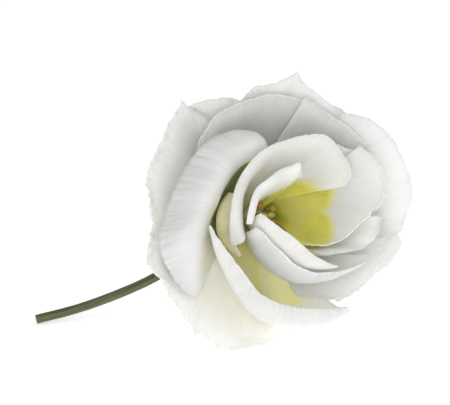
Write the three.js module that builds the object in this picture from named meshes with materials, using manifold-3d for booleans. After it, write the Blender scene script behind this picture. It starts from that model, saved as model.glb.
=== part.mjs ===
// Cut lisianthus flower, double white, lying on a surface.
// Millimetres, +Z up. The surface is z = 0, and the origin is on it under the middle of the part.
// The bloom has a frame of its own: its origin is the top of the receptacle, its +Z is the axis
// that the petals stand round, and its +X points to the right of someone who faces the bloom.
import * as THREE from 'three';
import { mergeVertices } from 'three/addons/utils/BufferGeometryUtils.js';
import Module from 'manifold-3d';

const wasm = await Module();
wasm.setup();

// ---- driving dimensions ------------------------------------------------------------------

const stemRadius = 1.3;
const stemSides = 10;
const stemSteps = 38;

const receptacleAt = [-9, 20, 24];
const bloomYaw = 20;
const bloomPitch = 26;
const receptacleRadius = 8.6;

const petalThickness = 0.62;
const petalRows = 7;
const seat = 0.65;

// Petals stand in rings on the domed receptacle, ring 0 outermost. Each ring is a step further in.
const outerRing = 7.6;
const ringStep = 0.9;
const domeSlope = 0.45;

// Each petal: its ring, the direction it faces, the half width of its claw, how far its sides fan
// apart, the handles that shape its profile (foot, on leaving the claw, and lip, before the rim:
// each is outward, then up, and a second pair is for the far side), how far the lip fades towards
// the two sides, and the points of its rim, taken round the axis with increasing angle.
const petals = {
  outer_petal_left: {
    ring: 1, at: 160, claw: 22, fan: 42, foot: [14, 1.5], lip: [-9, -3], fade: 0, columns: 14,
    rim: [[-12, 30, 15], [-20.5, 34, 17], [-27, 27, 17], [-33.5, 16.5, 17], [-34.5, 3, 17],
      [-37, -4, 18], [-37.5, -9, 18], [-31.9, -16.8, 17.6]],
  },
  outer_petal_upper_left: {
    ring: 0, at: 114, claw: 16, fan: 28, foot: [13, -3], lip: [-8, -3], fade: 0, columns: 12,
    rim: [[3.5, 29.5, 11], [-4, 34.5, 15], [-13, 35, 15.5], [-19.5, 33, 14], [-25, 24, 12]],
  },
  outer_petal_top: {
    ring: 1, at: 69, claw: 20, fan: 31, foot: [15, -1.6], lip: [-8, -3], fade: 0, columns: 14,
    rim: [[32, 16, 17], [28, 25, 19], [22, 29, 21], [13.5, 37.5, 21], [7, 37, 20], [1, 36.5, 19],
      [-4, 33, 18]],
  },
  outer_petal_right: {
    ring: 1, at: 12, claw: 21, fan: 38, foot: [15, 2], lip: [-8, -3], fade: 0, columns: 14,
    rim: [[32, -14, 23], [37, -9, 24.5], [40.5, -2.5, 25], [41.5, 4, 25], [40, 11, 25],
      [37, 18, 24.5], [32, 23, 24], [25, 26, 23]],
  },
  outer_petal_lower_right: {
    ring: 0, at: 320, claw: 25, fan: 30, foot: [14, -2.5], lip: [-6, -6], fade: 0, columns: 12,
    rim: [[17, -27.5, 16.5], [25, -23, 20.5], [33, -18, 22.5], [36.5, -14, 22.5], [36, -9, 20.5],
      [34, -3, 17.5]],
  },
  outer_petal_bottom: {
    ring: 0, at: 238, claw: 32, fan: 38, foot: [16, -3], lip: [-8, -4], fade: 0, columns: 14,
    rim: [[-35, -8, 14.5], [-33, -16, 16.5], [-29, -26, 18.5], [-22, -34.2, 19], [-14, -38.6, 19],
      [-7, -37.4, 18.5], [-2.5, -33.5, 15]],
  },
  middle_petal_left: {
    ring: 2, at: 170, claw: 34, fan: 48, foot: [14, 16, 20, 8], lip: [-19, 16], fade: 0.8,
    columns: 18,
    rim: [[-1, 18.5, 27], [-3, 23.5, 28], [-10, 25.5, 26], [-18, 23, 24], [-25, 16, 23],
      [-31, 7, 22], [-35, -3, 22], [-32.5, -11, 19.8], [-28.5, -17, 16.6], [-24.5, -20, 13.8]],
  },
  middle_petal_upper_left: {
    ring: 2, at: 111, claw: 17, fan: 38, foot: [12, 2.5], lip: [-6, -5], fade: 0, columns: 12,
    rim: [[17.6, 28.6, 20.4], [12, 32.2, 21.2], [5, 34, 21.5], [-3, 33.5, 21], [-10.5, 31, 20],
      [-16, 26, 18.5], [-19, 19, 17]],
  },
  middle_petal_top: {
    ring: 2, at: 58, claw: 20, fan: 22, foot: [11, 6.5], lip: [-5, -6], fade: 0, columns: 10,
    rim: [[32, 14, 22.4], [27, 20.5, 23.4], [21.5, 25.2, 24], [17.6, 28.5, 24.5], [13.5, 31.9, 24.5]],
  },
  middle_petal_upper_right: {
    ring: 3, at: 34, claw: 26, fan: 30, foot: [9.5, 9], lip: [-5, -7], fade: 0, columns: 12,
    rim: [[31.5, 4, 24], [31, 9, 25], [27.5, 13.5, 24.8], [23.5, 15.5, 26], [17, 18.5, 28],
      [8, 19.5, 27.5]],
  },
  middle_petal_right: {
    ring: 4, at: 7, claw: 19, fan: 36, foot: [4, 9, 8, 12], lip: [0, -8, -6, -6], fade: 0,
    columns: 16,
    rim: [[4.9, -9.4, 29], [10.8, -10.7, 31], [16, -9.8, 31.5], [20, -7, 32], [25, -4, 32],
      [29, -1, 31.5], [31.5, 3, 31], [31.5, 7.5, 31], [30, 11.5, 30.5], [26.5, 16, 29]],
  },
  middle_petal_lower_right: {
    ring: 2, at: 321, claw: 21, fan: 34, foot: [10, 6], lip: [-4, -6], fade: 0, columns: 12,
    rim: [[4, -24, 21], [10, -25.5, 24], [17, -26, 25.5], [24, -23, 26], [28, -18, 26],
      [31, -11, 25]],
  },
  middle_petal_bottom: {
    ring: 3, at: 255, claw: 32, fan: 46, foot: [12, 8.5, 21, 2.5], lip: [2, -12, 26, -12], fade: 0.75,
    columns: 16,
    rim: [[-20.7, 0, 27], [-19.5, -4.5, 28.3], [-16.5, -10, 29], [-12.5, -17, 29], [-8, -22.5, 28.5],
      [-1, -26, 27.5], [8, -28, 26.5], [17, -29, 25]],
  },
  inner_petal_top: {
    ring: 5, at: 96, claw: 34, fan: 75, foot: [7.5, 11, 11, 11], lip: [-1, -9, -9, 4.5],
    fade: 0, columns: 16,
    rim: [[20, 5, 29], [21.5, 9, 32], [19, 15, 34], [15, 20, 34.5], [9, 21, 34.5], [3, 20.5, 35],
      [-4, 19, 35], [-10, 14.5, 34], [-14.5, 7.5, 32.5], [-15.5, 0, 29], [-14.5, -6.5, 24]],
  },
  inner_petal_left: {
    ring: 6, at: 138, claw: 26, fan: 30, foot: [4.2, 11, 5.6, 11], lip: [-6, 1, -5, -1],
    fade: 0, columns: 12,
    rim: [[5.5, 13.5, 35], [-0.7, 12.7, 37], [-4.9, 10.8, 37.5], [-8.7, 8.4, 37],
      [-10.9, 4.6, 36], [-11.8, -1.2, 32.5]],
  },
  inner_petal_bud: {
    ring: 6, at: 62, claw: 14, fan: 10, foot: [2, 10], lip: [0, -8], fade: 0, columns: 6,
    rim: [[9.5, 9.5, 24], [9, 11.5, 25.5], [7, 10.5, 26], [5.5, 7.5, 24.5]],
  },
  inner_petal_right: {
    ring: 4, at: 319, claw: 15.5, fan: 20, foot: [12, 7, 14, 6], lip: [-5, 2], fade: 0, columns: 12,
    rim: [[8.5, -13, 27.5], [11, -13.5, 29], [14, -13.5, 30], [18, -13.5, 30], [22.5, -13, 30],
      [27.5, -9.5, 30], [30, -5, 29]],
  },
  inner_petal_lower: {
    ring: 6, at: 232, claw: 34, fan: 36, foot: [3, 12.5], lip: [7.5, -10], fade: 0.8, columns: 12,
    rim: [[-7.2, 1.2, 33], [-6.2, -0.7, 35.5], [-3, -4, 36.5], [2.5, -9.5, 36.5], [6, -13, 35.5],
      [10, -15.5, 34]],
  },
  inner_petal_bottom: {
    ring: 4, at: 254, claw: 34, fan: 44, foot: [5, 10, 11, 6], lip: [9, -12, 8, -11], fade: 1,
    columns: 16,
    rim: [[-9.8, -3.4, 29], [-9, -2.6, 31.5], [-7, -5, 33], [-3.6, -9.8, 33], [1, -14.6, 32.5],
      [6, -17.6, 32], [12, -18.5, 31.5], [17.5, -18, 31], [22, -17, 30], [25, -15, 28]],
  },
  inner_petal_lower_left: {
    ring: 4, at: 182, claw: 25, fan: 42, foot: [7.5, 10, 6, 10], lip: [9.2, -7, 6.4, -7],
    fade: 0.6, columns: 12,
    rim: [[-11, 7.4, 24.8], [-11.8, 5.6, 24.8], [-12.4, 3.3, 24.8], [-13, 0, 24.5],
      [-13.1, -3.5, 22.5], [-12.4, -6.6, 22], [-11, -9.8, 21.5]],
  },
};

const rimWave = 0.4;

// The two lower sepals are the longest, and their tips touch the surface behind the bloom.
const sepals = [
  { at: 18, length: 16 },
  { at: 90, length: 16 },
  { at: 162, length: 15 },
  { at: 234, length: 21 },
  { at: 306, length: 21 },
];
const sepalWidth = 3.4;
const sepalDroop = 7;

const stamenCount = 5;
const stamenRing = 1.25;

// ---- materials ---------------------------------------------------------------------------

const petalWhite = new THREE.MeshStandardMaterial({ color: 0xf4f4ee, roughness: 0.6 });
const stemGreen = new THREE.MeshStandardMaterial({ color: 0x54623a, roughness: 0.6 });
const sepalGreen = new THREE.MeshStandardMaterial({ color: 0x4f6a35, roughness: 0.6 });
const pistilGreen = new THREE.MeshStandardMaterial({ color: 0xa8b04c, roughness: 0.5 });
const antherBrown = new THREE.MeshStandardMaterial({ color: 0xa8752e, roughness: 0.8 });

// ---- helpers -----------------------------------------------------------------------------

const radians = THREE.MathUtils.degToRad;

const bloom = new THREE.Group();
bloom.position.set(...receptacleAt);
bloom.rotation.set(Math.PI / 2 - radians(bloomPitch), 0, radians(bloomYaw), 'ZXY');
bloom.updateMatrixWorld(true);

const bloomToPart = bloom.matrixWorld.clone();
const partToBloom = bloomToPart.clone().invert();

// A point of the bloom's frame from its direction round the axis, its distance from it and height.
function around(degrees, radius, height) {
  const angle = radians(degrees);
  return new THREE.Vector3(radius * Math.cos(angle), radius * Math.sin(angle), height);
}

// The receptacle's top is a low cone, highest on the axis.
function domeHeight(radius) {
  return domeSlope * (receptacleRadius - radius) - 0.3;
}

function toSolid(geometry) {
  const bare = geometry.clone();
  bare.deleteAttribute('normal');
  bare.deleteAttribute('uv');
  const merged = mergeVertices(bare, 1e-4);
  return new wasm.Manifold(new wasm.Mesh({
    numProp: 3,
    vertProperties: new Float32Array(merged.attributes.position.array),
    triVerts: new Uint32Array(merged.index.array),
  }));
}

function toGeometry(solid) {
  const mesh = solid.getMesh();
  const geometry = new THREE.BufferGeometry();
  geometry.setAttribute('position', new THREE.BufferAttribute(mesh.vertProperties, 3));
  geometry.setIndex(new THREE.BufferAttribute(mesh.triVerts, 1));
  geometry.computeVertexNormals();
  return geometry;
}

function joined(geometries) {
  return toGeometry(geometries.map(toSolid).reduce((whole, piece) => whole.add(piece)));
}

// A closed blade: a grid of middle points given an even thickness, with the same diagonals on its
// two faces, and a wall round its margin.
function blade(pointAt, columns, rows, thickness, settle) {
  const position = [];
  const step = 1e-3;
  for (const side of [0.5, -0.5]) {
    for (let row = 0; row <= rows; row += 1) {
      for (let column = 0; column <= columns; column += 1) {
        const u = column / columns;
        const v = row / rows;
        const along = pointAt(Math.min(u + step, 1), v).sub(pointAt(Math.max(u - step, 0), v));
        const up = pointAt(u, Math.min(v + step, 1)).sub(pointAt(u, Math.max(v - step, 0)));
        const normal = along.cross(up).normalize();
        const point = pointAt(u, v).addScaledVector(normal, side * thickness);
        position.push(...settle(point, side).toArray());
      }
    }
  }
  const index = [];
  const width = columns + 1;
  const back = width * (rows + 1);
  for (let row = 0; row < rows; row += 1) {
    for (let column = 0; column < columns; column += 1) {
      const a = row * width + column;
      const b = a + 1;
      const c = a + width;
      const d = c + 1;
      index.push(a, b, d, a, d, c);
      index.push(back + a, back + d, back + b, back + a, back + c, back + d);
    }
  }
  const wall = (a, b) => index.push(a, back + a, b, b, back + a, back + b);
  for (let column = 0; column < columns; column += 1) {
    wall(column, column + 1);
    wall(rows * width + column + 1, rows * width + column);
  }
  for (let row = 0; row < rows; row += 1) {
    wall((row + 1) * width, row * width);
    wall(row * width + columns, (row + 1) * width + columns);
  }
  const geometry = new THREE.BufferGeometry();
  geometry.setAttribute('position', new THREE.Float32BufferAttribute(position, 3));
  geometry.setIndex(index);
  geometry.computeVertexNormals();
  return geometry;
}

// Where a petal meets the surface it lies flat on it, with its thickness kept.
function restOnSurface(point, side) {
  const placed = point.clone().applyMatrix4(bloomToPart);
  const lowest = side > 0 ? 0 : petalThickness;
  placed.z = Math.max(placed.z, lowest);
  return placed.applyMatrix4(partToBloom);
}

// ---- stem with its receptacle ------------------------------------------------------------

function makeStem() {
  const neck = (height) => new THREE.Vector3(0, 0, height).applyMatrix4(bloomToPart);
  const route = new THREE.CatmullRomCurve3([
    new THREE.Vector3(-70, 0, stemRadius + 0.05),
    new THREE.Vector3(-58, 3.4, 3.2),
    new THREE.Vector3(-46, 7.2, 6.2),
    new THREE.Vector3(-35.5, 12.4, 9.2),
    new THREE.Vector3(-27, 20, 12.2),
    new THREE.Vector3(-19.5, 26.4, 15),
    new THREE.Vector3(-14.4, 28.6, 18),
    neck(-6),
    neck(-1.5),
  ]);
  const section = new THREE.Shape();
  section.absarc(0, 0, stemRadius, 0, Math.PI * 2);
  const tube = new THREE.ExtrudeGeometry(section, {
    steps: stemSteps,
    curveSegments: stemSides / 2,
    extrudePath: route,
    bevelEnabled: false,
  });
  const profile = [
    [0, -6], [1.5, -5.5], [2.6, -3.8], [5.2, -2.2], [receptacleRadius, -1],
    [receptacleRadius, -0.3], [0, domeHeight(0)],
  ].map(([radius, height]) => new THREE.Vector2(radius, height));
  const receptacle = new THREE.LatheGeometry(profile, 16);
  receptacle.rotateX(Math.PI / 2);
  receptacle.applyMatrix4(bloomToPart);
  return joined([tube, receptacle]);
}

// ---- petals ------------------------------------------------------------------------------

// How far out and up a profile's handle reaches, between the petal's two sides.
function handle([nearOut, nearUp, farOut = nearOut, farUp = nearUp], u) {
  return [THREE.MathUtils.lerp(nearOut, farOut, u), THREE.MathUtils.lerp(nearUp, farUp, u)];
}

function makePetal(petal) {
  const rimCurve = new THREE.CatmullRomCurve3(
    petal.rim.map((point) => new THREE.Vector3(...point)), false, 'catmullrom', 0.5);
  const radius = outerRing - ringStep * petal.ring;
  const pointAt = (u, v) => {
    const spread = 2 * u - 1;
    const rim = rimCurve.getPointAt(u);
    const direction = petal.at + petal.fan * spread;
    const claw = around(petal.at + petal.claw * spread, radius, domeHeight(radius) + seat);
    const foot = claw.clone().add(around(direction, ...handle(petal.foot, u)));
    const lip = rim.clone().add(around(direction, ...handle(petal.lip, u)
      .map((length) => length * (1 - petal.fade * spread ** 2))));
    const middle = new THREE.CubicBezierCurve3(claw, foot, lip, rim).getPoint(v);
    middle.z += rimWave * v ** 4 * Math.sin(Math.PI * petal.columns * u * 0.5);
    return middle;
  };
  return blade(pointAt, petal.columns, petalRows, petalThickness, restOnSurface);
}

// ---- sepals ------------------------------------------------------------------------------

function makeSepal({ at, length }) {
  const pointAt = (u, v) => {
    const half = sepalWidth * 0.5 * (1 - v) ** 0.7 + 0.3;
    const middle = around(at, receptacleRadius + 0.7 + length * v, -1.4 - sepalDroop * v ** 1.5);
    return middle.add(around(at + 90, half * (2 * u - 1), 0));
  };
  return blade(pointAt, 2, 7, petalThickness, restOnSurface);
}

// ---- pistil and stamens ------------------------------------------------------------------

function makePistil() {
  const profile = [
    [0, 4.0], [0.55, 4.0], [0.6, 6], [1.15, 7.5], [1.2, 9.5], [0.7, 11.5], [0.6, 14.6], [0, 14.8],
  ].map(([radius, height]) => new THREE.Vector2(radius, height));
  const body = new THREE.LatheGeometry(profile, 8);
  body.rotateX(Math.PI / 2);
  const lobes = [-1, 1].map((side) => {
    const lobe = new THREE.SphereGeometry(1.5, 8, 6);
    lobe.scale(1, 0.65, 1.15);
    lobe.rotateY(side * radians(28));
    lobe.translate(side * 1.0, 0, 15.6);
    return lobe;
  });
  return joined([body, ...lobes]);
}

function makeStamen(degrees) {
  const foot = around(degrees, stamenRing, domeHeight(stamenRing) + 0.5);
  const bend = around(degrees, stamenRing + 0.6, 8);
  const tip = around(degrees, stamenRing + 1.8, 12.5);
  const section = new THREE.Shape();
  section.absarc(0, 0, 0.35, 0, Math.PI * 2);
  const filament = new THREE.ExtrudeGeometry(section, {
    steps: 4,
    curveSegments: 3,
    extrudePath: new THREE.CatmullRomCurve3([foot, bend, tip]),
    bevelEnabled: false,
  });
  const anther = new THREE.SphereGeometry(1, 7, 5);
  anther.scale(0.85, 0.85, 2.1);
  anther.rotateY(radians(18));
  anther.rotateZ(radians(degrees));
  anther.translate(...tip.toArray());
  return joined([filament, anther]);
}

// ---- assembly ----------------------------------------------------------------------------

function named(name, geometry, material) {
  const mesh = new THREE.Mesh(geometry, material.clone());
  mesh.name = name;
  return mesh;
}

const group = new THREE.Group();
group.add(named('stem', makeStem(), stemGreen));
group.add(bloom);

for (const [name, petal] of Object.entries(petals)) {
  bloom.add(named(name, makePetal(petal), petalWhite));
}
sepals.forEach((sepal, index) => {
  bloom.add(named(`sepal_${index + 1}`, makeSepal(sepal), sepalGreen));
});
bloom.add(named('pistil', makePistil(), pistilGreen));
for (let count = 1; count <= stamenCount; count += 1) {
  const degrees = 30 + 360 * count / stamenCount;
  bloom.add(named(`stamen_${count}`, makeStamen(degrees), antherBrown));
}

// The origin goes under the middle of the part.
const middleOfPart = new THREE.Box3().setFromObject(group, true).getCenter(new THREE.Vector3());
group.position.set(-middleOfPart.x, -middleOfPart.y, 0);
group.updateMatrixWorld(true);

export default group;
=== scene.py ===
"""Cut double white lisianthus flower, lying on a surface. Metres, +Z up."""
import math

import bmesh
import bpy
from mathutils import Matrix, Vector, noise


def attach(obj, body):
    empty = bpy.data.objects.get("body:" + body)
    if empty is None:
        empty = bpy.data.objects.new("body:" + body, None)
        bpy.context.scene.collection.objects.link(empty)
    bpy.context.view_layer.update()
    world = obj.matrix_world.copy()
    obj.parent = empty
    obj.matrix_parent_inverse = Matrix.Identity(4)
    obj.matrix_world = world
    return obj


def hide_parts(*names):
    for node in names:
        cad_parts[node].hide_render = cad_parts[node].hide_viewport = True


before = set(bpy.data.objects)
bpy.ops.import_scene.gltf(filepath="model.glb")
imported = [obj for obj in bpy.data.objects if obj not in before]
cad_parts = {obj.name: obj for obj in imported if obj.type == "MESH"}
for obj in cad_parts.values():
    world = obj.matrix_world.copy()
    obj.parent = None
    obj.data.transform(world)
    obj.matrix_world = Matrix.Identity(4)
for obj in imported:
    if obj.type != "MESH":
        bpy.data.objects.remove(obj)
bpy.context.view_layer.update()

mm = 0.001
merge_distance = 0.001

# ---- the bloom's own frame -------------------------------------------------------------------
# Its origin is the top of the receptacle, +Z is the axis that the petals stand round, and +X
# points to the right of someone who faces the bloom. Everything is drawn in millimetres, in this
# frame or in the part's, and goes to metres as it is placed.

middle_of_part = Vector((-16.415, 10.370, 0.0))
receptacle_at = Vector((-9, 20, 24)) - middle_of_part
bloom_yaw = math.radians(20)
bloom_pitch = math.radians(26)
bloom_to_part = (
    Matrix.Translation(receptacle_at)
    @ Matrix.Rotation(bloom_yaw, 4, "Z")
    @ Matrix.Rotation(math.pi / 2 - bloom_pitch, 4, "X")
)

receptacle_radius = 8.6
dome_slope = 0.45
outer_ring = 7.6
ring_step = 0.9
seat = 0.65
rim_wave = 0.4
blade_thickness = 0.5

# The least height of a blade's middle above the surface that the flower lies on.
lowest = 0.31

# ---- petals ----------------------------------------------------------------------------------
# ring: which ring of the receptacle, 0 outermost. at: the direction faced, in degrees. claw: half
# the claw's width, and fan: how far the sides fan apart, in degrees. foot, lip: the handles that
# shape the profile, outward then up, with a second pair for the far side. fade: how far the lip
# fades towards the sides. columns: waves along the rim. green: how far up from the claw the green
# reaches, at the near side, the middle and the far side. tint: how strong that green is. crimp: how
# deeply the margin is crimped, in millimetres. deep: how dark the claw is, and how far up it stays
# so at the near side, the middle and the far side, where that isn't plain_deep. soft: how wide the
# green's edge is, where that isn't plain_soft. points: small points of the margin, each by its place
# along the rim, its length and its half width.

plain_deep = (0.66, (0.16, 0.16, 0.16))
plain_soft = 0.2

petals = {
    "outer_petal_left": dict(
        ring=1, at=160, claw=22, fan=42, foot=(14, 1.5), lip=(-9, -3), fade=0, columns=14,
        green=(0.25, 0.25, 0.25), tint=0.5, crimp=0.65,
        points=((0.135, 2.6, 1.6), (0.72, 1.2, 2.0)),
        rim=((-12, 30, 15), (-20.5, 34, 17), (-27, 27, 17), (-33.5, 16.5, 17), (-34.5, 3, 17),
             (-37, -4, 18), (-37.5, -9, 18), (-31.9, -16.8, 17.6))),
    "outer_petal_upper_left": dict(
        ring=0, at=114, claw=16, fan=28, foot=(13, -3), lip=(-8, -3), fade=0, columns=12,
        green=(0.25, 0.25, 0.25), tint=0.5, crimp=0.35,
        rim=((3.5, 29.5, 11), (-4, 34.5, 15), (-13, 35, 15.5), (-19.5, 33, 14), (-25, 24, 12))),
    "outer_petal_top": dict(
        ring=1, at=69, claw=20, fan=31, foot=(15, -1.6), lip=(-8, -3), fade=0, columns=14,
        green=(0.25, 0.25, 0.25), tint=0.5, crimp=0.3, points=((0.62, 1.8, 2.5),),
        rim=((32, 16, 17), (28, 25, 19), (22, 29, 21), (13.5, 37.5, 21), (7, 37, 20),
             (1, 36.5, 19), (-4, 33, 18))),
    "outer_petal_right": dict(
        ring=1, at=12, claw=21, fan=38, foot=(15, 2), lip=(-8, -3), fade=0, columns=14,
        green=(0.25, 0.25, 0.25), tint=0.5, crimp=0.35,
        rim=((32, -14, 23), (37, -9, 24.5), (40.5, -2.5, 25), (41.5, 4, 25), (40, 11, 25),
             (37, 18, 24.5), (32, 23, 24), (25, 26, 23))),
    "outer_petal_lower_right": dict(
        ring=0, at=320, claw=25, fan=30, foot=(14, -2.5), lip=(-6, -6), fade=0, columns=12,
        green=(0.25, 0.25, 0.25), tint=0.5, crimp=0.3,
        rim=((17, -27.5, 16.5), (25, -23, 20.5), (33, -18, 22.5), (36.5, -14, 22.5),
             (36, -9, 20.5), (34, -3, 17.5))),
    "outer_petal_bottom": dict(
        ring=0, at=238, claw=32, fan=38, foot=(16, -3), lip=(-8, -4), fade=0, columns=14,
        green=(0.2, 0.2, 0.3), tint=0.4, crimp=0.3, points=((0.43, 1.8, 1.8),),
        rim=((-35, -8, 14.5), (-33, -16, 16.5), (-29, -26, 18.5), (-22, -34.2, 19),
             (-14, -38.6, 19), (-7, -37.4, 18.5), (-2.5, -33.5, 15))),
    # Its green runs almost to the darkest stop with a sharp edge: the green base of its inner wall,
    # darkened with painted shade of the gap below its crest.
    "middle_petal_left": dict(
        ring=2, at=170, claw=34, fan=48, foot=(14, 16, 20, 8), lip=(-19, 16), fade=0.8,
        columns=18, green=(0.6, 0.5, 0.1), tint=0.97, crimp=0.24, soft=0.07,
        rim=((-1, 18.5, 27), (-3, 23.5, 28), (-10, 25.5, 26), (-18, 23, 24), (-25, 16, 23),
             (-31, 7, 22), (-35, -3, 22), (-32.5, -11, 19.8), (-28.5, -17, 16.6),
             (-24.5, -20, 13.8))),
    "middle_petal_upper_left": dict(
        ring=2, at=111, claw=17, fan=38, foot=(12, 2.5), lip=(-6, -5), fade=0, columns=12,
        green=(0.3, 0.3, 0.3), tint=0.5, crimp=0.3,
        rim=((17.6, 28.6, 20.4), (12, 32.2, 21.2), (5, 34, 21.5), (-3, 33.5, 21),
             (-10.5, 31, 20), (-16, 26, 18.5), (-19, 19, 17))),
    "middle_petal_top": dict(
        ring=2, at=58, claw=20, fan=22, foot=(11, 6.5), lip=(-5, -6), fade=0, columns=10,
        green=(0.3, 0.3, 0.3), tint=0.5, crimp=0.3,
        rim=((32, 14, 22.4), (27, 20.5, 23.4), (21.5, 25.2, 24), (17.6, 28.5, 24.5),
             (13.5, 31.9, 24.5))),
    "middle_petal_upper_right": dict(
        ring=3, at=34, claw=26, fan=30, foot=(9.5, 9), lip=(-5, -7), fade=0, columns=12,
        green=(0.35, 0.35, 0.35), tint=0.5, crimp=0.25,
        rim=((31.5, 4, 24), (31, 9, 25), (27.5, 13.5, 24.8), (23.5, 15.5, 26), (17, 18.5, 28),
             (8, 19.5, 27.5))),
    "middle_petal_right": dict(
        ring=4, at=7, claw=19, fan=36, foot=(4, 9, 8, 12), lip=(0, -8, -6, -6), fade=0,
        columns=16, green=(1.2, 0.6, 0.64), tint=0.62, crimp=0.25, soft=0.14,
        deep=(0.92, (1.1, 0.46, 0.36)),
        rim=((4.9, -9.4, 29), (10.8, -10.7, 31), (16, -9.8, 31.5), (20, -7, 32), (25, -4, 32),
             (29, -1, 31.5), (31.5, 3, 31), (31.5, 7.5, 31), (30, 11.5, 30.5), (26.5, 16, 29))),
    "middle_petal_lower_right": dict(
        ring=2, at=321, claw=21, fan=34, foot=(10, 6), lip=(-4, -6), fade=0, columns=12,
        green=(0.45, 0.4, 0.35), tint=0.5, crimp=0.25,
        rim=((4, -24, 21), (10, -25.5, 24), (17, -26, 25.5), (24, -23, 26), (28, -18, 26),
             (31, -11, 25))),
    "middle_petal_bottom": dict(
        ring=3, at=255, claw=32, fan=46, foot=(12, 8.5, 21, 2.5), lip=(2, -12, 26, -12),
        fade=0.75, columns=16, green=(0.75, 0.72, 0.5), tint=0.42, crimp=0.2,
        rim=((-20.7, 0, 27), (-19.5, -4.5, 28.3), (-16.5, -10, 29), (-12.5, -17, 29),
             (-8, -22.5, 28.5), (-1, -26, 27.5), (8, -28, 26.5), (17, -29, 25))),
    "inner_petal_top": dict(
        ring=5, at=96, claw=34, fan=75, foot=(7.5, 11, 11, 11), lip=(-1, -9, -9, 4.5), fade=0,
        columns=16, green=(0.74, 0.05, 0.15), tint=0.58, crimp=0.2,
        deep=(0.7, (0.3, 0.1, 0.1)),
        rim=((20, 5, 29), (21.5, 9, 32), (19, 15, 34), (15, 20, 34.5), (9, 21, 34.5),
             (3, 20.5, 35), (-4, 19, 35), (-10, 14.5, 34), (-14.5, 7.5, 32.5), (-15.5, 0, 29),
             (-14.5, -6.5, 24))),
    "inner_petal_left": dict(
        ring=6, at=138, claw=26, fan=30, foot=(4.2, 11, 5.6, 11), lip=(-6, 1, -5, -1), fade=0,
        columns=12, green=(0.35, 0.3, 0.3), tint=0.25, crimp=0.12, points=((0.03, 1.6, 2.2),),
        deep=(0.2, (0.1, 0.1, 0.1)),
        rim=((5.5, 13.5, 35), (-0.7, 12.7, 37), (-4.9, 10.8, 37.5), (-8.7, 8.4, 37),
             (-10.9, 4.6, 36), (-11.8, -1.2, 32.5))),
    "inner_petal_bud": dict(
        ring=6, at=62, claw=14, fan=10, foot=(2, 10), lip=(0, -8), fade=0, columns=6,
        green=(0.7, 0.7, 0.7), tint=0.6, crimp=0.1,
        deep=(0.6, (0.3, 0.3, 0.3)),
        rim=((9.5, 9.5, 24), (9, 11.5, 25.5), (7, 10.5, 26), (5.5, 7.5, 24.5))),
    "inner_petal_right": dict(
        ring=4, at=319, claw=15.5, fan=20, foot=(12, 7, 14, 6), lip=(-5, 2), fade=0, columns=12,
        green=(1.0, 0.5, 0.4), tint=0.4, crimp=0.2,
        deep=(0.8, (0.5, 0.3, 0.2)),
        rim=((8.5, -13, 27.5), (11, -13.5, 29), (14, -13.5, 30), (18, -13.5, 30),
             (22.5, -13, 30), (27.5, -9.5, 30), (30, -5, 29))),
    "inner_petal_lower": dict(
        ring=6, at=232, claw=34, fan=36, foot=(3, 12.5, 7.5, 12.5), lip=(7.5, -10, 12.5, -10),
        fade=0.8, columns=12,
        green=(0.8, 0.8, 0.8), tint=0.22, crimp=0.12,
        deep=(0.2, (0.1, 0.1, 0.1)),
        rim=((-7.2, 1.2, 33), (-6.2, -0.7, 35.5), (-3, -4, 36.5), (2.5, -9.5, 36.5),
             (6, -13, 35.5), (10, -15.4, 34), (13.2, -16.8, 32.6))),
    "inner_petal_bottom": dict(
        ring=4, at=254, claw=34, fan=44, foot=(5, 10, 11, 6), lip=(9, -12, 8, -11), fade=1,
        columns=16, green=(0.5, 0.45, 0.4), tint=0.4, crimp=0.15,
        deep=(0.2, (0.1, 0.1, 0.1)),
        rim=((-9.8, -3.4, 29), (-9, -2.6, 31.5), (-7, -5, 33), (-3.6, -9.8, 33),
             (1, -14.6, 32.5), (6, -17.6, 32), (12, -18.5, 31.5), (17.5, -18, 31), (22, -17, 30),
             (25, -15, 28))),
    "inner_petal_lower_left": dict(
        ring=4, at=182, claw=25, fan=42, foot=(7.5, 10, 6, 10), lip=(9.2, -7, 6.4, -7), fade=0.6,
        columns=12, green=(1.2, 1.2, 1.2), tint=0.36, crimp=0.1,
        deep=(0.5, (0.12, 0.12, 0.12)),
        rim=((-11, 7.4, 24.8), (-11.8, 5.6, 24.8), (-12.4, 3.3, 24.8), (-13, 0, 24.5),
             (-13.1, -3.5, 22.5), (-12.4, -6.6, 22), (-11, -9.8, 21.5))),
}

# The cells of a petal's grid, then its relief, in millimetres: how high it stands, and its size
# across and along the blade. Fine crimps and fine nicks are given as shares of the coarse ones. The
# crimps and the thin papery edge lie in bands measured in from the rim.

cell_across, cell_along = 0.5, 0.625
fewest_cells = 24
curve_allowance = 1.1
broad_fold, fold_size = 0.35, (9.0, 16.0)
pleat, pleat_size = 0.07, (1.1, 14.0)
crimp_size = (2.3, 11.0)
fine_crimp, fine_crimp_size = 1.6, (1.0, 6.0)
crimp_band = (0.8, 3.2)
papery_band = (0.2, 0.9)
ragged, ragged_size = 0.35, 2.6
fine_ragged, fine_ragged_size = 0.7, 1.1
rim_thinning = 0.4

# Each sepal's direction and its length.

sepals = {
    "sepal_1": (18, 16),
    "sepal_2": (90, 16),
    "sepal_3": (162, 15),
    "sepal_4": (234, 21),
    "sepal_5": (306, 21),
}
sepal_width = 3.4
sepal_tip_width = 0.24
sepal_keel = 0.55
sepal_seat = 0.7
sepal_drop = 1.4
sepal_droop = 7
sepal_columns, sepal_rows = 12, 40

stem_radius = 1.3
stem_route = (
    (-70, 0, 1.35), (-58, 3.4, 3.2), (-46, 7.2, 6.2), (-35.5, 12.4, 9.2), (-27, 20, 12.2),
    (-19.5, 26.4, 15), (-14.4, 28.6, 18),
)
neck_heights = (-6, -1.5)
neck_swelling = 0.5
stem_ribs, stem_rib_height = 4, 0.03
stem_wear = 0.04
stem_sides, stem_rings = 28, 190
tube_girth = 8

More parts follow.
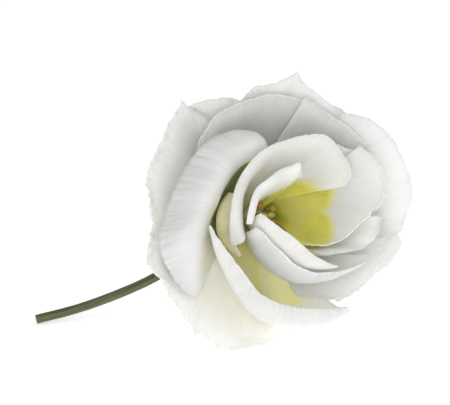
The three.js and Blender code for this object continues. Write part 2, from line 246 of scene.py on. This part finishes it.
# The foot of a filament, then its bend and its tip as distances out from the foot and heights.
stamen_count = 5
stamen_ring = 1.25
stamen_seat = 0.5
stamen_bend = (0.6, 8)
stamen_tip = (1.8, 12.5)
filament_radii = (0.34, 0.22)
anther_size = (0.8, 0.6, 2.1)
anther_gap = 0.36
anther_lean = math.radians(18)

# The ovary and style as (radius, height), and the two lobes of the stigma.
pistil_profile = (
    (0, 4.0), (0.5, 4.05), (0.55, 6), (0.9, 6.8), (1.15, 7.6), (1.22, 8.6), (1.15, 9.6),
    (0.9, 10.8), (0.65, 11.8), (0.55, 13.2), (0.6, 14.5), (0.3, 14.9), (0, 15.0),
)
lobe_radius = 1.5
lobe_shape = (1, 0.65, 1.15)
lobe_aside, lobe_height = 1.0, 15.6
lobe_lean = math.radians(28)


# ---- curves ----------------------------------------------------------------------------------

class SmoothCurve:
    """A smooth open curve through points, walked by its length."""

    divisions = 200

    def __init__(self, points):
        self.points = [Vector(point) for point in points]
        self.lengths = [0.0]
        last = self.at(0)
        for step in range(1, self.divisions + 1):
            here = self.at(step / self.divisions)
            self.lengths.append(self.lengths[-1] + (here - last).length)
            last = here
        self.length = self.lengths[-1]

    def at(self, t):
        place = t * (len(self.points) - 1)
        start = min(int(place), len(self.points) - 2)
        w = place - start
        b, c = self.points[start], self.points[start + 1]
        a = self.points[start - 1] if start > 0 else 2 * b - c
        d = self.points[start + 2] if start + 2 < len(self.points) else 2 * c - b
        leave, arrive = (c - a) * 0.5, (d - b) * 0.5
        return (
            b
            + leave * w
            + (3 * (c - b) - 2 * leave - arrive) * w ** 2
            + (2 * (b - c) + leave + arrive) * w ** 3
        )

    def along(self, u):
        target = u * self.length
        low, high = 0, self.divisions
        while high - low > 1:
            middle = (low + high) // 2
            if self.lengths[middle] > target:
                high = middle
            else:
                low = middle
        part = (target - self.lengths[low]) / (self.lengths[low + 1] - self.lengths[low])
        return self.at((low + part) / self.divisions)


def around(degrees, radius, height):
    """A point of the bloom's frame from its direction, its distance from the axis and height."""
    angle = math.radians(degrees)
    return Vector((radius * math.cos(angle), radius * math.sin(angle), height))


def dome_height(radius):
    return dome_slope * (receptacle_radius - radius) - 0.3


def blend(a, b, w):
    return a + (b - a) * w


def ease(low, high, value):
    w = min(max((value - low) / (high - low), 0.0), 1.0)
    return w * w * (3 - 2 * w)


def handle(reach, u):
    near_out, near_up = reach[:2]
    far_out, far_up = reach[-2:]
    return blend(near_out, far_out, u), blend(near_up, far_up, u)


def between(three, u):
    """A value given at the near side, the middle and the far side, taken at u."""
    near, middle, far = three
    return blend(near, middle, 2 * u) if u < 0.5 else blend(middle, far, 2 * u - 1)


def bezier(a, b, c, d, v):
    w = 1 - v
    return a * w ** 3 + b * (3 * w * w * v) + c * (3 * w * v * v) + d * v ** 3


# ---- materials -------------------------------------------------------------------------------

tissue_scatter = (1.0, 0.98, 0.88)
tissue_depth = 3.0 * mm
# The very dark green at the end of this ramp is the petals' green base darkened with painted shade
# of the deepest gaps.
petal_colours = (
    (0.0, (0.95, 0.945, 0.915)),
    (0.18, (0.95, 0.915, 0.74)),
    (0.42, (0.94, 0.87, 0.40)),
    (0.62, (0.88, 0.805, 0.13)),
    (0.84, (0.34, 0.40, 0.045)),
    (1.0, (0.12, 0.16, 0.03)),
)
vein_grey = (0.965, 0.965, 0.955)
cloud_grey = (0.975, 0.98, 0.965)
clear = (1.0, 1.0, 1.0)
# Beige of the thin papery rim, also used as painted shade in the creases of its puckers.
papery_beige_and_crease_shade = (0.69, 0.68, 0.60)
stem_dark, stem_light = (0.05, 0.062, 0.02), (0.12, 0.13, 0.055)
sepal_dark, sepal_light = (0.07, 0.12, 0.03), (0.17, 0.24, 0.07)
dome_cream = (0.76, 0.75, 0.52)
pistil_dark, pistil_light = (0.34, 0.40, 0.07), (0.62, 0.60, 0.16)
pollen_dark, pollen_light = (0.42, 0.20, 0.04), (0.72, 0.44, 0.10)
filament_green = (0.62, 0.62, 0.30)


class Finish:
    """A node material, built up one node at a time round a Principled shader."""

    def __init__(self, name, roughness, sheen=0.0, subsurface=0.0):
        self.material = bpy.data.materials.new(name)
        self.material.use_nodes = True
        self.nodes = self.material.node_tree.nodes
        self.links = self.material.node_tree.links
        self.shader = self.nodes["Principled BSDF"]
        self.shader.inputs["Roughness"].default_value = roughness
        self.shader.inputs["Sheen Weight"].default_value = sheen
        self.shader.inputs["Subsurface Weight"].default_value = subsurface
        self.shader.inputs["Subsurface Radius"].default_value = tissue_scatter
        self.shader.inputs["Subsurface Scale"].default_value = tissue_depth

    def join(self, source, target):
        self.links.new(source, target)

    def feed(self, value, socket):
        if isinstance(value, tuple):
            socket.default_value = (*value, 1.0)
        elif isinstance(value, (int, float)):
            socket.default_value = value
        else:
            self.join(value, socket)

    def coordinates(self, kind, scale):
        if kind == "petal":
            source = self.nodes.new("ShaderNodeUVMap")
            source.uv_map = "petal"
            output = source.outputs["UV"]
        else:
            source = self.nodes.new("ShaderNodeTexCoord")
            output = source.outputs["Object"]
        mapping = self.nodes.new("ShaderNodeMapping")
        mapping.inputs["Scale"].default_value = scale
        self.join(output, mapping.inputs["Vector"])
        return mapping.outputs["Vector"]

    def cloud(self, kind, scale, detail=2.0, roughness=0.5):
        texture = self.nodes.new("ShaderNodeTexNoise")
        texture.inputs["Scale"].default_value = 1.0
        texture.inputs["Detail"].default_value = detail
        texture.inputs["Roughness"].default_value = roughness
        self.join(self.coordinates(kind, scale), texture.inputs["Vector"])
        return texture.outputs["Fac"]

    def attribute(self, name):
        node = self.nodes.new("ShaderNodeAttribute")
        node.attribute_name = name
        return node.outputs["Fac"]

    def ranged(self, value, from_low, from_high, to_low, to_high):
        node = self.nodes.new("ShaderNodeMapRange")
        node.interpolation_type = "SMOOTHSTEP"
        for name, number in (("From Min", from_low), ("From Max", from_high),
                             ("To Min", to_low), ("To Max", to_high)):
            node.inputs[name].default_value = number
        self.join(value, node.inputs["Value"])
        return node.outputs["Result"]

    def maths(self, operation, a, b):
        node = self.nodes.new("ShaderNodeMath")
        node.operation = operation
        for value, socket in ((a, node.inputs[0]), (b, node.inputs[1])):
            self.feed(value, socket)
        return node.outputs["Value"]

    def ramp(self, value, *stops):
        node = self.nodes.new("ShaderNodeValToRGB")
        elements = node.color_ramp.elements
        while len(elements) < len(stops):
            elements.new(0.5)
        for element, (place, colour) in zip(elements, stops):
            element.position = place
            element.color = (*colour, 1.0)
        self.join(value, node.inputs["Fac"])
        return node.outputs["Color"]

    def mixed(self, amount, a, b, blend_type="MIX"):
        node = self.nodes.new("ShaderNodeMix")
        node.data_type = "RGBA"
        node.blend_type = blend_type
        for value, socket in ((amount, node.inputs["Factor"]), (a, node.inputs["A"]),
                              (b, node.inputs["B"])):
            self.feed(value, socket)
        return node.outputs["Result"]

    def bump(self, height, distance, strength=1.0):
        node = self.nodes.new("ShaderNodeBump")
        node.inputs["Strength"].default_value = strength
        node.inputs["Distance"].default_value = distance
        self.join(height, node.inputs["Height"])
        self.join(node.outputs["Normal"], self.shader.inputs["Normal"])

    def colour(self, source):
        self.join(source, self.shader.inputs["Base Color"])


def petal_finish():
    """White petal tissue: fine veins and pleats that run from claw to rim, green at the claw."""
    finish = Finish("white petal", roughness=0.55, sheen=0.1, subsurface=0.85)
    veins = finish.cloud("petal", (95, 5, 1), detail=3.0, roughness=0.55)
    pleats = finish.cloud("petal", (230, 9, 1), detail=2.0)
    mottle = finish.cloud("object", (70, 70, 70), detail=3.0)
    streaks = finish.cloud("petal", (60, 3, 1), detail=4.0, roughness=0.6)
    wrinkles = finish.cloud("petal", (105, 16, 1), detail=2.0)
    green = finish.attribute("green")
    off_green = finish.ranged(green, 0.05, 0.45, 1.0, 0.0)

    # The green runs out in streaks at its edge, and is blotched within.
    streaky = finish.maths("MULTIPLY", finish.maths("SUBTRACT", streaks, 0.5), 0.55)
    green_edge = finish.maths("MULTIPLY", finish.ranged(green, 0.0, 0.25, 0.0, 1.0),
                              finish.ranged(green, 0.4, 0.62, 1.0, 0.2))
    blotch = finish.maths("MULTIPLY", finish.maths("SUBTRACT", mottle, 0.5), 0.5)
    patchy = finish.maths("MULTIPLY", blotch, finish.ranged(green, 0.3, 0.6, 0.0, 1.0))
    tint = finish.maths("ADD", finish.maths("ADD", green, patchy),
                        finish.maths("MULTIPLY", streaky, green_edge))
    body = finish.ramp(tint, *petal_colours)

    # Off the green, veins show a little darker than the tissue between them.
    dark_vein = finish.maths("MULTIPLY", finish.ranged(veins, 0.35, 0.65, 1.0, 0.0), off_green)
    shade = finish.mixed(dark_vein, clear, vein_grey)
    cloudy = finish.mixed(finish.ranged(mottle, 0.35, 0.7, 0.0, 1.0), cloud_grey, clear)
    veined = finish.mixed(1.0, body, shade, "MULTIPLY")
    clouded = finish.mixed(1.0, veined, cloudy, "MULTIPLY")

    # The rim is thin and papery, and puckered where it is crimped; its beige lies in the hollows of
    # the wrinkles, partly papery tissue and partly painted shade in the creases of the puckers.
    papery_and_crease_shade = finish.maths("MULTIPLY", finish.attribute("margin"),
                          finish.ranged(wrinkles, 0.42, 0.6, 1.0, 0.15))
    finish.colour(finish.mixed(papery_and_crease_shade, clouded, papery_beige_and_crease_shade))
    relief = finish.maths("ADD", finish.maths("MULTIPLY", veins, 0.7),
                          finish.maths("MULTIPLY", pleats, 0.3))
    raised = finish.maths("MULTIPLY", relief, off_green)
    puckers = finish.maths("MULTIPLY", wrinkles, finish.attribute("crimped"))
    finish.bump(finish.maths("ADD", raised, finish.maths("MULTIPLY", puckers, 5.0)),
                0.25 * mm, 0.45)
    return finish.material


def green_finish(name, dark, light, along):
    """Firm green tissue with fine ribs along it and a waxy bloom, paler where "pale" is set."""
    finish = Finish(name, roughness=0.5, subsurface=0.08)
    ribs = finish.cloud("petal", along, detail=3.0)
    spots = finish.cloud("object", (900, 900, 900), detail=2.0)
    patches = finish.cloud("object", (160, 160, 160), detail=3.0)
    body = finish.mixed(finish.ranged(ribs, 0.35, 0.65, 0.0, 1.0), dark, light)
    worn = finish.mixed(finish.ranged(patches, 0.4, 0.7, 0.0, 0.5), body, light)
    finish.colour(finish.mixed(finish.attribute("pale"), worn, dome_cream))
    finish.bump(finish.maths("ADD", ribs, finish.maths("MULTIPLY", spots, 0.3)), 0.25 * mm, 0.7)
    return finish.material


def pistil_finish():
    """Soft yellow-green tissue with a finely beaded surface."""
    finish = Finish("pistil", roughness=0.45, subsurface=0.2)
    beads = finish.nodes.new("ShaderNodeTexVoronoi")
    beads.inputs["Scale"].default_value = 1.0
    finish.join(finish.coordinates("object", (2600, 2600, 2600)), beads.inputs["Vector"])
    patches = finish.cloud("object", (500, 500, 500), detail=3.0)
    finish.colour(finish.mixed(finish.ranged(patches, 0.35, 0.7, 0.0, 1.0),
                               pistil_dark, pistil_light))
    finish.bump(beads.outputs["Distance"], 0.15 * mm, 0.6)
    return finish.material


def anther_finish():
    """Powdery pollen on brown-orange sacs, paling to a greenish filament."""
    finish = Finish("anther", roughness=0.85, sheen=0.2)
    grains = finish.cloud("object", (3200, 3200, 3200), detail=2.0)
    patches = finish.cloud("object", (700, 700, 700), detail=2.0)
    powder = finish.mixed(finish.ranged(patches, 0.35, 0.7, 0.0, 1.0),
                          pollen_dark, pollen_light)
    finish.colour(finish.mixed(finish.attribute("green"), powder, filament_green))
    finish.bump(grains, 0.12 * mm, 0.8)
    return finish.material


# ---- making pieces ---------------------------------------------------------------------------

def add_piece(name, node, bm, material, thickness=0.0):
    """Puts a finished mesh into the scene in metres, in place of a CAD node.

    A blade is given its thickness here, thinned by its "body" layer.
    """
    for face in bm.faces:
        face.smooth = True
    bm.transform(Matrix.Scale(mm, 4))
    mesh = bpy.data.meshes.new(name)
    bm.to_mesh(mesh)
    bm.free()
    mesh.materials.append(material)
    made = bpy.data.objects.new(name, mesh)
    bpy.context.scene.collection.objects.link(made)
    if thickness:
        group = made.vertex_groups.new(name="body")
        for index, entry in enumerate(mesh.attributes["body"].data):
            group.add([index], entry.value, "REPLACE")
        solid = made.modifiers.new("thickness", "SOLIDIFY")
        solid.thickness = thickness * mm
        solid.offset = 0.0
        solid.vertex_group = group.name
    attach(made, "root")
    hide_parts(node)


def grid(columns, rows, across, along, layers=()):
    """A grid whose u and v run from 0 to 1, with a UV map in tenths of a metre."""
    bm = bmesh.new()
    uv = bm.loops.layers.uv.new("petal")
    for layer in layers:
        bm.verts.layers.float.new(layer)
    bmesh.ops.create_grid(bm, x_segments=columns, y_segments=rows, size=0.5, calc_uvs=False)
    spots = {vertex: (vertex.co.x + 0.5, vertex.co.y + 0.5) for vertex in bm.verts}
    for face in bm.faces:
        for loop in face.loops:
            u, v = spots[loop.vert]
            loop[uv].uv = (u * across / 100, v * along / 100)
    return bm, spots


def sheet(columns, rows, place, across, along, layers):
    """A grid drawn out to a sheet by place(u, v)."""
    bm, spots = grid(columns, rows, across, along, layers)
    for vertex, (u, v) in spots.items():
        vertex.co = place(u, v)
    bm.normal_update()
    return bm, spots


def close_up(bm):
    """Merges the seams and poles of a closed shape and turns its faces outwards."""
    bmesh.ops.remove_doubles(bm, verts=bm.verts, dist=merge_distance)
    bmesh.ops.recalc_face_normals(bm, faces=bm.faces)


def make_petal(node, petal, seed, material):
    """One blade from its claw on the receptacle to its rim, folded, pleated and crimped."""
    rim_curve = SmoothCurve(petal["rim"])
    across = rim_curve.length
    radius = outer_ring - ring_step * petal["ring"]
    crimp = petal["crimp"]
    rough = min(3 * crimp, 1.0)
    rim_middle = Vector(petal["rim"][len(petal["rim"]) // 2])
    along = (rim_middle - around(petal["at"], radius, 0)).length * curve_allowance
    columns = max(int(across / cell_across), fewest_cells)
    rows = max(int(along / cell_along), fewest_cells)
    own_waves = Vector((seed * 7.3, seed * 3.1, 0))

    def ruffle(u, v, size):
        return noise.noise(Vector((u * across / size[0], v * along / size[1], 0)) + own_waves)

    def nick(u, size, row):
        return noise.noise(Vector((u * across / size, row, 0)) + own_waves)

    profiles = {}

    def profile(u):
        """The claw, foot, lip and edge of the profile at u, worked out once."""
        if u not in profiles:
            spread = 2 * u - 1
            rim = rim_curve.along(u)
            direction = petal["at"] + petal["fan"] * spread
            claw = around(petal["at"] + petal["claw"] * spread, radius,
                          dome_height(radius) + seat)
            foot = claw + around(direction, *handle(petal["foot"], u))
            fading = 1 - petal["fade"] * spread ** 2
            lip = rim + around(direction, *[part * fading for part in handle(petal["lip"], u)])
            uneven = nick(u, ragged_size, 5.1) + fine_ragged * nick(u, fine_ragged_size, 9.4)
            past_rim = ragged * rough * uneven
            for at, length, half in petal.get("points", ()):
                past_rim += length * max(1 - abs(u - at) * across / half, 0.0) ** 1.5
            edge = rim + (rim - claw).normalized() * past_rim
            profiles[u] = claw, foot, lip, edge
        return profiles[u]

    def place(u, v):
        middle = bezier(*profile(u), v)
        middle.z += rim_wave * v ** 4 * math.sin(math.pi * petal["columns"] * u * 0.5)
        return middle

    bm, spots = sheet(columns, rows, place, across, along,
                      ("green", "body", "margin", "crimped"))
    green, body, margin, crimped = bm.verts.layers.float.values()
    darkest, rise = petal.get("deep", plain_deep)
    soft = petal.get("soft", plain_soft)
    for vertex, (u, v) in spots.items():
        in_from_rim = (1 - v) * along
        off_sides = ease(0.0, 0.08, min(u, 1 - u))
        near_rim = ease(0.45, 1.0, v)
        at_rim = 1 - ease(*crimp_band, in_from_rim)
        crimps = ruffle(u, v, crimp_size)
        lift = broad_fold * ruffle(u, v, fold_size) * ease(0.1, 0.5, v)
        lift += pleat * ruffle(u, v, pleat_size) * ease(0.4, 0.8, v)
        lift += 0.5 * crimp * crimps * near_rim * near_rim
        lift += crimp * (crimps + fine_crimp * ruffle(u, v, fine_crimp_size)) * at_rim
        vertex.co = bloom_to_part @ (vertex.co + vertex.normal * lift * off_sides)
        vertex.co.z = max(vertex.co.z, lowest)
        flush_top = between(petal["green"], u)
        flush = petal["tint"] * (1 - ease(flush_top - soft, flush_top, v))
        claw_green = darkest * (1 - ease(0.02, between(rise, u), v))
        vertex[green] = max(flush, claw_green)
        vertex[body] = 1.0 - rim_thinning * ease(0.75, 1.0, v)
        thin_edge = 1 - ease(*papery_band, in_from_rim)
        vertex[margin] = max(thin_edge * rough, crimp * at_rim)
        vertex[crimped] = crimp * at_rim
    add_piece(node + "_blade", node, bm, material, thickness=blade_thickness)


def make_sepal(node, at, length, material):
    """A narrow keeled blade that tapers to its tip and droops below the receptacle."""
    def place(u, v):
        half = sepal_width * 0.5 * (1 - v) ** 0.7 + sepal_tip_width * 0.5
        middle = around(at, receptacle_radius + sepal_seat + length * v,
                        -sepal_drop - sepal_droop * v ** 1.5)
        keel = sepal_keel * (1 - abs(2 * u - 1)) * (1 - v)
        return middle + around(at + 90, half * (2 * u - 1), -keel)

    bm, spots = sheet(sepal_columns, sepal_rows, place, sepal_width, length, ("body",))
    body = bm.verts.layers.float["body"]
    for vertex in spots:
        vertex.co = bloom_to_part @ vertex.co
        vertex.co.z = max(vertex.co.z, lowest)
        vertex[body] = 1.0
    add_piece(node + "_blade", node, bm, material, thickness=blade_thickness)


def tube(route, radius_at, sides, rings):
    """A round tube along a route, with its seam and its two ends closed."""
    curve = SmoothCurve(route)
    bm, spots = grid(sides, rings, tube_girth, curve.length)
    step = 0.004
    side = Vector((0, 0, 1))
    frames = []
    for ring in range(rings + 1):
        v = ring / rings
        ahead = (curve.along(min(v + step, 1)) - curve.along(max(v - step, 0))).normalized()
        side = (side - ahead * side.dot(ahead)).normalized()
        frames.append((curve.along(v), side, ahead.cross(side)))
    for vertex, (u, v) in spots.items():
        centre, first, second = frames[round(v * rings)]
        turn = 2 * math.pi * u
        vertex.co = centre + (first * math.cos(turn) + second * math.sin(turn)) * radius_at(v, u)
    bmesh.ops.remove_doubles(bm, verts=bm.verts, dist=merge_distance)
    ends = [edge for edge in bm.edges if edge.is_boundary]
    bmesh.ops.holes_fill(bm, edges=ends, sides=0)
    bmesh.ops.recalc_face_normals(bm, faces=bm.faces)
    return bm


def turned(bm, profile, steps):
    """Adds a profile of (radius, height) points spun round the bloom's axis."""
    verts = [bm.verts.new((radius, 0, height)) for radius, height in profile]
    edges = [bm.edges.new(pair) for pair in zip(verts, verts[1:])]
    bmesh.ops.spin(bm, geom=verts + edges, cent=(0, 0, 0), axis=(0, 0, 1), angle=2 * math.pi,
                   steps=steps, use_merge=True, use_duplicate=False)


def make_stem(material):
    """The ribbed stem and the receptacle at its top, which are one growth."""
    neck = [bloom_to_part @ Vector((0, 0, height)) for height in neck_heights]
    route = [Vector(point) - middle_of_part for point in stem_route] + neck

    def radius_at(v, u):
        ribs = stem_rib_height * math.cos(2 * math.pi * stem_ribs * u + 3 * v)
        swelling = neck_swelling * ease(0.93, 1.0, v)
        worn = stem_wear * noise.noise(Vector((u * 2, v * 22, 3)))
        return stem_radius + ribs + swelling + worn

    bm = tube(route, radius_at, stem_sides, stem_rings)
    bm.verts.layers.float.new("pale")
    cup = bmesh.new()
    cup.loops.layers.uv.new("petal")
    pale = cup.verts.layers.float.new("pale")
    rounded = [(0, -6), (1.5, -5.6), (1.9, -4.8), (2.6, -3.8), (3.8, -2.9), (5.2, -2.25),
               (7.2, -1.6), (8.3, -1.15), (receptacle_radius, -0.75), (8.4, -0.35)]
    dome = [(radius, dome_height(radius)) for radius in (6, 3, 0)]
    turned(cup, rounded + dome, 48)
    close_up(cup)
    for vertex in cup.verts:
        vertex[pale] = ease(-0.8, -0.2, vertex.co.z)
    cup.transform(bloom_to_part)
    loose = bpy.data.meshes.new("receptacle")
    cup.to_mesh(loose)
    cup.free()
    bm.from_mesh(loose)
    bpy.data.meshes.remove(loose)
    add_piece("stem_skin", "stem", bm, material)


def make_pistil(material):
    """The ovary and its style, with a stigma of two lobes."""
    bm = bmesh.new()
    turned(bm, pistil_profile, 24)
    for side in (-1, 1):
        place = (Matrix.Translation((side * lobe_aside, 0, lobe_height))
                 @ Matrix.Rotation(side * lobe_lean, 4, "Y")
                 @ Matrix.Diagonal((*lobe_shape, 1)))
        bmesh.ops.create_uvsphere(bm, u_segments=20, v_segments=14, radius=lobe_radius,
                                  matrix=place)
    close_up(bm)
    bm.transform(bloom_to_part)
    add_piece("pistil_body", "pistil", bm, material)


def make_stamen(node, degrees, material):
    """A filament that leans outwards, with the two sacs of its anther at the tip."""
    foot = around(degrees, stamen_ring, dome_height(stamen_ring) + stamen_seat)
    bend, tip = [around(degrees, stamen_ring + out, height)
                 for out, height in (stamen_bend, stamen_tip)]
    bm = tube((foot, bend, tip), lambda v, u: blend(*filament_radii, v), 10, 20)
    green = bm.verts.layers.float.new("green")
    for vertex in bm.verts:
        vertex[green] = 1.0
    for side in (-1, 1):
        place = (Matrix.Translation(tip)
                 @ Matrix.Rotation(math.radians(degrees), 4, "Z")
                 @ Matrix.Rotation(anther_lean, 4, "Y")
                 @ Matrix.Translation((0, side * anther_gap, 0))
                 @ Matrix.Diagonal((*anther_size, 1)))
        bmesh.ops.create_uvsphere(bm, u_segments=16, v_segments=14, radius=1.0, matrix=place)
    bm.transform(bloom_to_part)
    add_piece(node + "_body", node, bm, material)


# ---- the flower ------------------------------------------------------------------------------

petal_white = petal_finish()
stem_green = green_finish("stem skin", stem_dark, stem_light, (120, 4, 1))
sepal_green = green_finish("sepal", sepal_dark, sepal_light, (160, 6, 1))
pistil_green = pistil_finish()
anther_brown = anther_finish()

for seed, (node, petal) in enumerate(petals.items()):
    make_petal(node, petal, seed, petal_white)
for node, (at, length) in sepals.items():
    make_sepal(node, at, length, sepal_green)
make_stem(stem_green)
make_pistil(pistil_green)
for count in range(1, stamen_count + 1):
    make_stamen(f"stamen_{count}", 30 + 360 / stamen_count * count, anther_brown)


# ---- floor, light and camera -----------------------------------------------------------------

floor_reach = 6.0
floor_white = (0.97, 0.97, 0.97, 1.0)
floor_glow = 0.46
room_glow = 0.46
white = (1.0, 1.0, 1.0, 1.0)
light_target = Vector((0, 0, 0.03))

camera_elevation = math.radians(25)
camera_target = Vector((0.415, 0.0, 33.45)) * mm
camera_distance = 1.5
film_width = 36.0
width_shown = 450 / 3.5 * mm


def make_floor():
    bm = bmesh.new()
    bmesh.ops.create_grid(bm, x_segments=1, y_segments=1, size=floor_reach)
    mesh = bpy.data.meshes.new("floor")
    bm.to_mesh(mesh)
    bm.free()
    floor = bpy.data.objects.new("floor", mesh)
    bpy.context.scene.collection.objects.link(floor)
    paper = bpy.data.materials.new("floor")
    paper.use_nodes = True
    shader = paper.node_tree.nodes["Principled BSDF"]
    shader.inputs["Base Color"].default_value = floor_white
    shader.inputs["Roughness"].default_value = 0.9
    shader.inputs["Specular IOR Level"].default_value = 0.1
    shader.inputs["Emission Color"].default_value = white
    shader.inputs["Emission Strength"].default_value = floor_glow
    mesh.materials.append(paper)


def make_softbox(name, at, size, energy):
    light = bpy.data.lights.new(name, "AREA")
    light.shape = "DISK"
    light.size = size
    light.energy = energy
    lamp = bpy.data.objects.new(name, light)
    bpy.context.scene.collection.objects.link(lamp)
    lamp.location = at
    lamp.rotation_euler = (light_target - Vector(at)).to_track_quat("-Z", "Y").to_euler()


def make_room():
    world = bpy.data.worlds.new("room")
    world.use_nodes = True
    background = world.node_tree.nodes["Background"]
    background.inputs["Color"].default_value = white
    background.inputs["Strength"].default_value = room_glow
    bpy.context.scene.world = world
    bpy.context.scene.view_settings.view_transform = "Standard"


def make_camera():
    lens = bpy.data.cameras.new("camera")
    lens.sensor_width = film_width
    lens.lens = film_width * camera_distance / width_shown
    lens.clip_end = 20.0
    camera = bpy.data.objects.new("camera", lens)
    bpy.context.scene.collection.objects.link(camera)
    back = Vector((0, -math.cos(camera_elevation), math.sin(camera_elevation)))
    camera.location = camera_target + back * camera_distance
    camera.rotation_euler = (-back).to_track_quat("-Z", "Y").to_euler()
    bpy.context.scene.camera = camera


make_floor()
make_camera()
make_softbox("overhead", at=(-0.15, -0.1, 1.0), size=1.2, energy=0.8)
make_softbox("front", at=(-0.1, -1.25, 0.8), size=0.9, energy=2.8)
make_softbox("low fill", at=(0.1, -1.35, 0.25), size=0.8, energy=6.6)
make_room()
